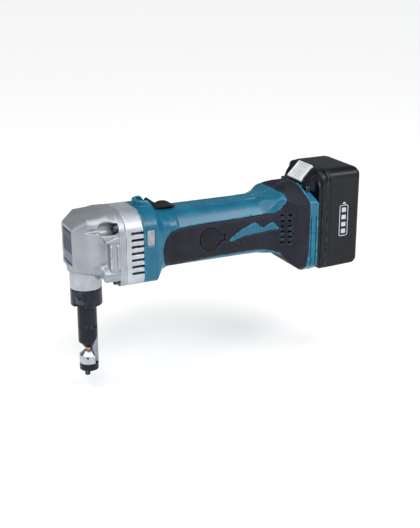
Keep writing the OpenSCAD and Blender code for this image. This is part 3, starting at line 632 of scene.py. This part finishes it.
SHELL_X = [50, 65.5, 73, 82, 260]
SHELL_ROWS = [[36, 36, 31.8, 30.5, 30.5], [36.5, 36.5, 31.6, 30, 30], [38, 38, 32.2, 30, 30],
              [24, 24, 22, 22, 22], [10, 10, 19, 22, 22]]
FOOT_REAR = 249.0
FOOT_SIDE = [(180, -30), (203, -28.4), (210, -32), (216, -38.4), (223, -44.6), (238, -55), (246, -59),
             (FOOT_REAR, -59), (FOOT_REAR, 24), (244, 34), (237, 42.8), (227, 42.8), (220, 40.6),
             (214, 36.8), (209, 35), (204, 32.6), (198, 30.6), (180, 30)]
FOOT_X = [187, 200, 208, 215, 222, 228, FOOT_REAR]
FOOT_HALF_W = [26, 29, 31.5, 35, 38.6, 39.5, 39.5]
PANEL = smooth_loop([(72, -9.5), (73.5, 0), (78, 9), (87, 14.8), (150, 15.6), (196, 16.6), (205, 19),
                     (211, 26), (213.5, 33), (212, 37), (212, 60), (235, 60), (235.5, 34), (238, 27),
                     (238, -44), (223, -60),
                     (216, -50), (211, -30), (203, -25.5), (190, -22), (150, -21.5), (110, -23.5), (90, -27),
                     (81.5, -28), (75, -22)], 2)
SWOOSH = smooth_loop([(144.6, -8.4), (152, -1), (163, 5), (172, 8.6), (177.5, 10.2), (180, 8.4), (184, 3.6),
                      (188.5, 3.6), (193, 6.4), (197.2, 8.2), (200, 7), (206.6, -1.6), (200, 0), (190, -1.4),
                      (178, -2), (164, -3.6), (154, -6.4)], 2)
RUBBER_T = 2.0
BRUSH_X = (edge_of("left_brush", 0, "x") + edge_of("left_brush", 1, "x")) / 2
SCREWS = [(155, -21), (192, 20), (228, -36)]
INLETS = [(x, 13.8 - i * 6) for x in (208.3, 216.3) for i in range(6)]


def shell(x, y, z):
    """Outside of the housing with its rubber on."""
    half_w, top, bottom, r_top, r_low = (np.interp(x, SHELL_X, row) for row in SHELL_ROWS)
    sleeve = prism(section(y, z, half_w, top, bottom, r_top, r_low), slab(x, 50, 214), 0.7)
    flat = 0.82 * np.abs(y) + 0.573 * z - np.interp(x, [66, 92, 196, 214], [46, 32.3, 32.3, 38])
    sleeve = both(sleeve, flat, 1.6)
    foot = both(inside_loop(x, z, FOOT_SIDE), np.abs(y) - np.interp(x, FOOT_X, FOOT_HALF_W), 2)
    crown = np.minimum(np.hypot(y, z + 10) - 52.8, z - 25)
    foot = both(foot, both(crown, np.hypot(y, z - 3) - 62, 2), 1.2)
    # rounds the neck where the foot leaves the grip
    foot = both(foot, (np.hypot(y, z) - np.interp(x, [186, 250], [27, 81.4])) * 0.76, 3)
    return join(sleeve, foot, 7)


def cavity(x, y, z):
    around = np.hypot(y, z)
    fan_bay = np.maximum(around - 32.5, slab(x, 40, 58))
    hollow = np.minimum(fan_bay, np.maximum(around - 26.6, slab(x, 55, 199)))
    wall = 4.2
    foot = both(inside_loop(x, z, FOOT_SIDE) + wall, np.abs(y) - np.interp(x, FOOT_X, FOOT_HALF_W) + wall, 2)
    foot = both(foot, both(np.hypot(y, z + 10) - 52.8 + wall, slab(x, 198, 233), 1), 1)
    ribs = np.minimum(slab(x, 63, 65.5), slab(x, 102, 104.5))
    ribs = np.maximum(ribs, 24.3 - around)
    ribs = np.minimum(ribs, np.maximum(slab(x, 140.4, 146.8), 9.6 - around))
    ribs = np.maximum(ribs, -brick(x, y, z, (100, -6, 17), (152, 6, 28)))
    ribs = np.maximum(ribs, 1.6 - np.hypot(np.abs(y) - 17.5, z - 8))
    hollow = np.maximum(np.minimum(hollow, foot), -ribs)
    for screw_x, screw_z in SCREWS:
        hollow = np.maximum(hollow, 4.5 - np.hypot(x - screw_x, z - screw_z))
    return hollow


def soft_area(x, z):
    return both(inside_loop(x, z, PANEL), -inside_loop(x, z, SWOOSH), 0.6)


def openings(x, y, z, body):
    """Cuts that the housing and its rubber share."""
    side = np.abs(y)
    seat = prism(np.hypot(x - BRUSH_X, z + 1.5) - 12.3, 28.6 - side)
    lug = brick(x, side, z, (BRUSH_X + 9, 28.6, -5.6), (BRUSH_X + 17, 44, 2.6), 0.8)
    body = cut(body, np.minimum(seat, lug), 0.6)
    for inlet_x, inlet_z in INLETS:
        hole = prism(slab(x, inlet_x - 2.3, inlet_x + 2.3), slab(z, inlet_z - 1.4, inlet_z + 1.4), 0.5)
        body = np.maximum(body, -np.maximum(hole, 24 - side))
    body = np.maximum(body, -brick(x, y, z, (236, -10, 25.6), (240, 10, 60)))
    for screw_x, screw_z in SCREWS:
        reach = np.hypot(x - screw_x, z - screw_z)
        body = np.maximum(body, -np.maximum(reach - 4.1, 20 - y))
    return body


def guard(x, y, z):
    """Horseshoe ahead of the slide switch."""
    outside = np.minimum(np.hypot(x - 64, y) - 11.8, prism(slab(x, 64, 76), slab(y, -11.8, 11.8)))
    inside = np.minimum(np.hypot(x - 66.4, y) - 9.4, prism(slab(x, 66.4, 90), slab(y, -9.4, 9.4)))
    ring = prism(np.maximum(outside, -inside), slab(z, 28, 42.2), 1.1)
    return both(ring, 0.8 * (x - 59) + 0.6 * (z - 50), 1.6), inside


def housing(x, y, z):
    side = np.abs(y)
    outer = shell(x, y, z) + 0.3
    body = np.minimum(outer + RUBBER_T - 0.3, cut(outer, soft_area(x, z), 0.7))
    ring, well = guard(x, y, z)
    body = join(body, ring, 1.2)
    body = cut(body, both(well, 31.4 - z, 1), 0.8)
    # groove beside the spine along the top of the grip
    spine = np.maximum(np.hypot(side - 9.5, z - 30.2 + 0.6) - 1.1, slab(x, 104, 196))
    body = cut(body, spine, 0.8)
    body = np.maximum(body, -cavity(x, y, z))
    lamp = brick(x, side, z, (53.2, 34.5, 1.7), (62.2, 44, 18.9), 0.8)
    body = cut(body, lamp, 0.5)
    body = np.maximum(body, -brick(x, y, z, (59.6, -9.6, 30.9), (98.5, 9.6, 46)))
    body = np.maximum(body, -brick(x, y, z, (72, -4.2, 20), (95, 4.2, 40)))
    body = np.maximum(body, -np.maximum(np.hypot(x - BRUSH_X, z) - 7.3, 20 - side))
    for bolt_y, bolt_z in BOLTS:
        body = np.maximum(body, -np.maximum(np.hypot(side - bolt_y, z - bolt_z) - 2.7, x - 60))
    for screw_x, screw_z in SCREWS:
        body = np.maximum(body, -np.maximum(np.hypot(x - screw_x, z - screw_z) - 1.6, -23 - y))
    # grooves in the side of the foot's rim
    for groove_x in (239.6, 245.4):
        groove = brick(x, side, z, (groove_x - 0.8, 37.6, -50), (groove_x + 0.8, 44, 11), 0.5)
        body = cut(body, groove, 0.6)
    # rail recess, open at its top and bottom
    body = np.maximum(body, -brick(x, y, z, (238.5, -28, -70), (244, 28, 60)))
    body = np.maximum(body, -brick(x, y, z, (243, -24, -70), (251, 24, 60)))
    body = np.maximum(body, -brick(x, y, z, (230, -19, -40), (240, 19, 8)))
    return openings(x, y, z, body)


def rubber(x, y, z):
    outer = shell(x, y, z)
    layer = both(outer, soft_area(x, z) + 0.25, 1.1)
    # two soft lines pressed into the front of the grip
    arc = np.abs(np.hypot(x - 62, (z + 42) * 1.1) - 37) - 0.5
    layer = cut(layer, both(arc, -(outer + 0.7), 0.4), 0.5)
    layer = np.maximum(layer, -(outer + RUBBER_T))
    return openings(x, y, z, layer)


def round_plug(centres):
    """The dark seat round the brush cover."""
    reach = np.hypot(centres[:, 0] - BRUSH_X, centres[:, 2] + 1.5)
    lug = (np.abs(centres[:, 0] - BRUSH_X - 13) < 4.4) & (np.abs(centres[:, 2] + 1.5) < 4.6)
    return ((reach < 12.7) | lug) & (np.abs(centres[:, 1]) > 27.5)


for word, sign in (("left", -1), ("right", 1)):
    low_y, high_y = (-40, 0.3) if sign < 0 else (-0.3, 40)

    def half(field, gap=0.03, sign=sign):
        return lambda x, y, z: np.maximum(field(x, y, z), gap - sign * y)

    carve(word + "_shell", half(housing), (50, low_y, -59.5), (FOOT_REAR, high_y, 43.5), 0.95, "tool",
          "teal_plastic", [word + "_housing"], [look("teal_plastic"), look("black_plastic")], round_plug)
    carve(word + "_rubber", half(rubber), (71, low_y, -59.5), (FOOT_REAR, high_y, 43.5), 0.85, "tool",
          "grip_rubber", [word + "_grip"], [look("grip_rubber")])

    def plug(x, y, z, sign=sign):
        side = sign * y
        reach = np.hypot(x - BRUSH_X, z + 1.5)
        disc = prism(reach - 11.3, slab(side, 28.75, 30.2), 0.7)
        tab = brick(x, side, z, (BRUSH_X + 8, 28.75, -4.4), (BRUSH_X + 15.6, 30.0, 1.4), 0.5)
        disc = join(disc, tab, 0.6)
        return cut(disc, np.hypot(reach - 9.2, side - 30.6) - 0.7, 0.4)

    cover_low, cover_high = sorted((sign * 28.5, sign * 30.5))
    carve(word + "_brush_plug", plug, (BRUSH_X - 12, cover_low, -14), (BRUSH_X + 16, cover_high, 11), 0.35,
          "tool", "grip_rubber", [word + "_brush_cover"], [look("black_plastic")])

    def lens(x, y, z, sign=sign):
        return brick(x, sign * y, z, (53.6, 34.7, 2.1), (61.8, 36.1, 18.5), 1.2)

    lens_low, lens_high = sorted((sign * 34.6, sign * 36.2))
    carve(word + "_lens", lens, (53, lens_low, 1.5), (62.5, lens_high, 19), 0.4, "tool",
          "lamp_lens", [word + "_lamp"], [look("lamp_lens")])

# ---------- battery ----------

JOINT_X = 259.3
BATTERY_REAR = edge_of("battery_case", 1, "x")
BATTERY_TOP = edge_of("battery_case", 1, "z")
BUTTON_X, BUTTON_Z = 247.4, 52.6
CELL_FRONT_X, CELL_TOP_Z = 265.3, 36.6


def slanted(x, z):
    """Along and across the slanted shoulder that holds the release button."""
    u = ((x - BUTTON_X) + (z - BUTTON_Z)) / math.sqrt(2)
    w = ((z - BUTTON_Z) - (x - BUTTON_X)) / math.sqrt(2)
    return u, w


def battery_front(x, y, z):
    body = prism(section(y, z, 36, BATTERY_TOP - 10, 50, 12, 5), slab(x, 250, 254), 1)
    ridge = prism(section(y, z, 37.4, BATTERY_TOP - 4, 51.5, 12, 5), slab(x, 253.3, JOINT_X), 0.8)
    hump = inside_loop(x, z, [(240, 36), (240, 42), (243, 47.5), (253, 57.4), (256, BATTERY_TOP - 0.2),
                              (JOINT_X, BATTERY_TOP - 0.2), (JOINT_X, 30), (250, 30)])
    hump = both(hump, np.abs(y) - np.interp(x, [240, 249.4, 250.6, 256], [24, 27.4, 30.5, 36.8]), 4)
    hump = both(hump, section(y, z, 37.3, BATTERY_TOP - 0.2, 50, 16, 5), 3)
    body = join(join(body, ridge, 1), both(hump, x - JOINT_X), 2.5)
    body = both(body, x - JOINT_X)
    rails = np.minimum(brick(x, y, z, (238.9, -27.6, -46), (243.6, 27.6, 40), 0.4),
                       brick(x, y, z, (243.4, -23.6, -46), (251, 23.6, 40), 0.4))
    body = join(body, rails)
    body = np.maximum(body, -brick(x, y, z, (252, -33.5, -48.5), (JOINT_X + 1, 33.5, 36)))
    first_cell = 9.8 - np.hypot(x - CELL_FRONT_X, z - CELL_TOP_Z)
    body = np.maximum(body, np.where(np.abs(y) < 33.5, first_cell, body))
    for blade in (-13, 0, 13):
        body = np.maximum(body, -brick(x, y, z, (238.5, blade - 1.2, -60), (249, blade + 1.2, -12.5)))
    u, w = slanted(x, z)
    body = cut(body, brick(u, y, w, (-13.1, -14.3, -6.5), (9.7, 14.3, 10), 1), 0.5)
    body = np.maximum(body, -brick(u, y, w, (-8, -9, -11), (8, 9, -6)))
    return np.maximum(body, -brick(x, y, z, (237.5, -9.4, 24.4), (244.6, 9.4, 42)))


carve("battery_front", battery_front, (238.5, -38, -52), (JOINT_X, 38, 59), 0.7, "battery",
      "battery_plastic", ["battery_cover"], [look("battery_plastic")])


def battery_rear(x, y, z):
    across = section(y, z, 37.4, BATTERY_TOP - 0.1, 53.9, 14, 6)
    profile = inside_loop(x, z, [(JOINT_X - 9, BATTERY_TOP), (BATTERY_REAR - 7, BATTERY_TOP),
                                 (BATTERY_REAR - 2, BATTERY_TOP - 2), (BATTERY_REAR, BATTERY_TOP - 7),
                                 (BATTERY_REAR, -45), (BATTERY_REAR - 6.2, -49.5), (JOINT_X - 9, -51.6)])
    body = both(across, profile, 3)
    body = both(body, JOINT_X + 0.15 - x, 0.6)
    # upright corner at the rear edge of each side
    body = both(body, (np.abs(y) + x - BATTERY_REAR - 34.6) / math.sqrt(2), 2)
    # shallow line round the case behind its front edge
    body = cut(body, np.hypot(across, x - 262.4) - 0.55, 0.5)
    hollow = brick(x, y, z, (JOINT_X - 1, -34.5, -48.5), (BATTERY_REAR - 2.2, 34.5, 48), 1)
    hollow = both(hollow, 0.688 * (x - BATTERY_REAR + 8) - 0.726 * (z + 48.5))
    return np.maximum(body, -hollow)


carve("battery_rear", battery_rear, (JOINT_X, -38, -54.5), (BATTERY_REAR, 38, 59), 0.8, "battery",
      "battery_plastic", ["battery_case"], [look("battery_plastic")])


def gauge_mark(x, y, z):
    """A plain battery sign on each side of the case: a frame with four bars."""
    side = np.abs(y)
    frame_ring = np.abs(prism(slab(x, 275.5, 285.5), slab(z, -16, 18), 2)) - 0.55
    mark = np.minimum(frame_ring, prism(slab(x, 278.5, 282.5), slab(z, 19.2, 21.2), 0.4))
    for i in range(4):
        mark = np.minimum(mark, prism(slab(x, 277.7, 283.3), slab(z, -13.6 + i * 7.9, -8.4 + i * 7.9), 0.8))
    return np.maximum(mark, slab(side, 37.2, 37.6))


mark_points, mark_faces = net(gauge_mark, (269, -37.8, -25), (287, 37.8, 24), 0.4)
battery_mark = mesh_piece("battery_mark", mark_points, mark_faces, [look("mark_ink")])
stand_in(battery_mark, "battery", "button_plastic")

tree, packed = cells()
stand_in(tree.piece("cell_pack", packed, look("cell_wrap"),
                    place_at(CELL_FRONT_X + 9.3, 0, CELL_TOP_Z - 37.8, "y")),
         "battery", "cell_wrap", "battery_cells")


def button(x, y, z):
    u, w = slanted(x, z)
    cap = brick(u, y, w, (-12.5, -13.7, -3), (9.1, 13.7, 0.95), 0.9)
    cap = cut(cap, brick(u, y, w, (-10.2, -11.6, 0.3), (6.8, 11.6, 4), 0.4), 0.4)
    for i in range(6):
        cap = join(cap, brick(u, y, w, (-8.9 + i * 2.6, -10, 0), (-8 + i * 2.6, 10, 0.8), 0.3), 0.2)
    return join(cap, brick(u, y, w, (-6, -7, -5.5), (6, 7, -2.5)))


button_low, button_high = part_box("release_button")
carve("battery_button", button, [c / MM - o for c, o in zip(button_low, (0, 0, AXIS_Z))],
      [c / MM - o for c, o in zip(button_high, (0, 0, AXIS_Z))], 0.4, "battery_release",
      "button_plastic", ["release_button"], [look("button_plastic")])


def knob(x, y, z):
    profile = inside_loop(x, z, smooth_loop([
        (67.8, 31.3), (96.4, 31.3), (96.4, 31.9), (93, 33.9), (89, 35.4), (84, 35.3), (79, 33.5),
        (75, 35.1), (72.4, 38.9), (70.2, 40.4), (68.2, 39.6), (67.7, 36)], 1))
    body = both(profile, np.abs(y) - 8.5, 1.2)
    for i in range(4):
        body = cut(body, np.hypot(x - 83.5 - i * 2.6, z - 35.9 + i * 0.42) - 0.55, 0.3)
    return join(body, brick(x, y, z, (80, -3.4, 26.2), (94, 3.4, 31.8)))


carve("switch_cap", knob, (67, -9, 26), (97, 9, 41), 0.4, "slide_switch", "black_plastic",
      ["switch_knob"], [look("black_plastic")])

# ---------- die end ----------

NUT_LOW, NUT_HIGH = edge_of("lock_nut", 0, "z"), edge_of("lock_nut", 1, "z")
BASE_LOW = edge_of("die_holder", 0, "z")
DIE_BOLT_X, DIE_BOLT_Y = 3.9, 5.9


def wrench_nut():
    """A turned ring with a counterbore and notches for the hook wrench, spaced evenly round its foot."""
    tree = Tree("wrench_nut", Radius=16.25 * MM, Height=(NUT_HIGH - NUT_LOW) * MM, Rim=0.6 * MM,
                Bore=10.4 * MM, Recess=14.85 * MM, Recess_From=(-58 - NUT_LOW) * MM, Notches=2, Notch_Width=12 * MM,
                Notch_Height=3.4 * MM, Notch_From=12.6 * MM)
    radius, height, rim = tree.size("Radius"), tree.size("Height"), tree.size("Rim")
    wall = tree.move(tree.rod(radius, height - rim * 2, 96), z=height * 0.5)
    ends = tree.move(tree.rod(radius - rim, height, 96), z=height * 0.5)
    cones = [tree.move(tree.node("GeometryNodeMeshCone", None, {
        "Vertices": 96, "Radius Top": top, "Radius Bottom": low, "Depth": rim * 1.02}), z=at)
        for top, low, at in ((radius, radius - rim, rim * -0.01),
                             (radius - rim, radius, height - rim * 1.01))]
    deep = tree.size("Recess_From")
    bore = tree.rod(tree.size("Bore"), 0.1, 72)
    recess = tree.move(tree.rod(tree.size("Recess"), 0.04, 72), z=deep + 0.02)
    reach, tall = tree.size("Notch_From"), tree.size("Notch_Height")
    notch = tree.node("GeometryNodeMeshCube", None, {"Size": tree.node(
        "ShaderNodeCombineXYZ", None, {"X": 0.01, "Y": tree.size("Notch_Width"), "Z": tall * 2})})
    notch = tree.move(notch, x=reach + 0.005)
    places = tree.node("GeometryNodePoints", None, {"Count": tree.size("Notches")})
    turn = tree.node("GeometryNodeInputIndex") * (2 * math.pi) / tree.size("Notches") + math.pi / 4
    notches = tree.copies(places, notch, tree.node("ShaderNodeCombineXYZ", None, {"Z": turn}))
    notches = tree.node("GeometryNodeRealizeInstances", None, {0: notches})
    return tree, tree.carved(tree.merged(wall, ends, *cones), bore, recess, notches)


tree, ring = wrench_nut()
nut = tree.piece("wrench_nut", ring, look("black_steel"), place_at(0, 0, NUT_LOW))
nut.data.materials.append(look("bright_steel"))
for face in nut.data.polygons:
    middle = face.center / MM
    flat = max(abs(face.normal.z), abs(Vector((1, 1, 0)).normalized().dot(face.normal))) > 0.99
    if flat and 12.3 < math.hypot(middle.x, middle.y) < 16.2 and 0.2 < middle.z - AXIS_Z - NUT_LOW < 3.6:
        face.material_index = 1
stand_in(nut, "lock_nut", "black_steel", "lock_nut")


def holder(x, y, z):
    around = np.hypot(x, y)
    radius = np.interp(z, [-109, -102, -101.9, -61, -60.9, -57.7, -57.6, -54.3],
                       [3.7, 10, 10, 10, 9.8, 9.8, 13.8, 13.8])
    body = both(around - radius, slab(z, -109, -54.3), 0.3)
    for ring in (-83.0, -85.0):
        body = cut(body, np.hypot(around - 10.1, z - ring) - 0.6, 0.2)
    # the barrel is cut away on both sides of the arm
    body = np.maximum(body, -np.maximum(np.maximum(z + 93.5 + (11 - x) * 0.98, 3.4 - x), 2.3 - np.abs(y)))
    arm = np.maximum(around - 9.9, slab(z, BASE_LOW, -93.5))
    arm = np.maximum(arm, brick(x, y, z, (3.4, -2.3, -140), (12, 2.3, -90)))
    base = prism(around - 9.85, slab(z, BASE_LOW, -125.5), 0.5)
    body = join(join(body, arm, 0.3), base, 0.3)
    body = np.maximum(body, -np.maximum(around - 5.3, -98.5 - z))
    body = np.maximum(body, 2.6 - around)
    body = np.maximum(body, -np.maximum(around - 3, z + 120))
    return np.maximum(body, -np.maximum(np.hypot(x + DIE_BOLT_X, np.abs(y) - DIE_BOLT_Y) - 1.6, z + 120))


def on_arm(centres):
    flat = (np.abs(np.abs(centres[:, 1]) - 2.3) < 0.12) & (centres[:, 0] > 3.3) & (centres[:, 2] < -93)
    return flat & (centres[:, 2] > -125.4)


carve("die_carrier", holder, (-14, -14, BASE_LOW), (14, 14, -54), 0.36, "die_head", "black_steel",
      ["die_holder"], [look("black_steel"), look("machined_steel")], on_arm)


def die(x, y, z):
    around = np.hypot(x, y)
    facets = np.maximum.reduce([x * math.cos(a) + y * math.sin(a) for a in np.radians(range(15, 375, 36))])
    body = np.maximum(facets - np.interp(z, [-117.4, -112], [10.3, 4.4]), around - 9.65)
    body = np.maximum(body, slab(z, -125.4, -112.05))
    body = np.maximum(body, -np.maximum(x + 99, 3.3 - x))
    body = np.maximum(body, 2.6 - around)
    # side hole that shows how worn the die is, at the front left
    turn = math.radians(-115)
    across = y * math.cos(turn) - x * math.sin(turn)
    ahead = x * math.cos(turn) + y * math.sin(turn)
    body = np.maximum(body, -np.maximum(np.hypot(across, z + 118.4) - 1.1, 1 - ahead))
    body = np.maximum(body, -np.maximum(around - 3.2, z + 117))
    body = np.maximum(body, -np.maximum(np.hypot(x + DIE_BOLT_X, np.abs(y) - DIE_BOLT_Y) - 1.55, z + 120.4))
    return body


carve("die_cutter", die, (-10, -10, -125.5), (3.4, 10, -112), 0.3, "die_head", "bright_steel",
      ["die"], [look("bright_steel")])

tree, small_screws = cap_screws("die_screws", 0.0, 2 * DIE_BOLT_Y, 1, 2, Head_Radius=2.9, Head_Height=4.2,
                                Rim=0.5, Shaft_Radius=1.4, Shaft_Length=11.0, Socket_Radius=1.5)
stand_in(tree.piece("die_screws", small_screws, look("black_steel"),
                    place_at(-DIE_BOLT_X, 0, BASE_LOW, "-z")),
         "die_head", "black_steel", "die_bolts")

# ---------- inside and along the grip ----------

tree, blades = cooling_fan()
stand_in(tree.piece("fan_wheel", blades, look("fan_plastic"), place_at(edge_of("fan", 0, "x"), 0, 0, "x")),
         "armature", "fan_plastic", "fan")
for word, sign in (("left", -1), ("right", 1)):
    tree, dots = grip_dots(sign)
    stand_in(tree.piece(word + "_grip_dots", dots, look("black_plastic"), place_at(172, 0, 0)),
             "tool", "grip_rubber")

# ---------- carried-over nodes ----------

slot_of = {part["node"]: part["material_slot"] for part in frame["record"]["subparts"]}
for name, made in frame["nodes"].items():
    made.data.materials.clear()
    made.data.materials.append(look(slot_of[name]))

# ---------- floor, light and camera ----------

FLOOR_HALF = 60.0
FLOOR_DROP = 0.02
corners = [(a * FLOOR_HALF, b * FLOOR_HALF, cad_low.z - FLOOR_DROP)
           for a, b in ((-1, -1), (1, -1), (1, 1), (-1, 1))]
floor_mesh = bpy.data.meshes.new("floor")
floor_mesh.from_pydata(corners, [], [(0, 1, 2, 3)])
floor = bpy.data.objects.new("floor", floor_mesh)
bpy.context.scene.collection.objects.link(floor)
pale = Finish("pale_floor")
pale.set(Base_Color=(0.95, 0.95, 0.95, 1), Roughness=0.95)
floor.data.materials.append(pale.material)

world = bpy.data.worlds.new("studio")
world.use_nodes = True
sky = world.node_tree.nodes["Background"]
sky.inputs["Color"].default_value = (0.96, 0.98, 1, 1)
sky.inputs["Strength"].default_value = 0.24
bpy.context.scene.world = world
bpy.context.scene.view_settings.view_transform = "Standard"

centre = (cad_low + cad_high) / 2


def light(name, kind, place, power, **sizes):
    lamp = bpy.data.lights.new(name, kind)
    lamp.energy = power
    for key, value in sizes.items():
        setattr(lamp, key, value)
    made = bpy.data.objects.new(name, lamp)
    made.location = centre + Vector(place)
    made.rotation_euler = Vector(place).to_track_quat("Z", "Y").to_euler()
    made.visible_camera = False
    bpy.context.scene.collection.objects.link(made)


light("sky_light", "SUN", (-0.25, -0.35, 1.0), 2.6, angle=math.radians(70))
light("key", "AREA", (-0.55, -1.0, 0.8), 3.5, shape="RECTANGLE", size=0.6, size_y=0.4)
light("shoulder", "AREA", (0.45, -0.66, 0.76), 6, shape="RECTANGLE", size=0.7, size_y=0.25)
light("left_strip", "AREA", (-1.2, -0.1, 0.1), 3, shape="RECTANGLE", size=0.2, size_y=1.3)
light("right_strip", "AREA", (0.68, -1.0, 0.0), 2.5, shape="RECTANGLE", size=0.16, size_y=1.2)

AIM = Vector((0.138965, 0, 0.031933))
FORWARD = Vector((0.40706, 0.85342, -0.32557)).normalized()
camera_data = bpy.data.cameras.new("camera")
camera_data.lens = 68.18
camera = bpy.data.objects.new("camera", camera_data)
camera.location = AIM - FORWARD * 1.06658
camera.rotation_euler = FORWARD.to_track_quat("-Z", "Y").to_euler()
camera_data.clip_start, camera_data.clip_end = 0.05, 50
bpy.context.scene.collection.objects.link(camera)
bpy.context.scene.camera = camera

bpy.context.view_layer.update()
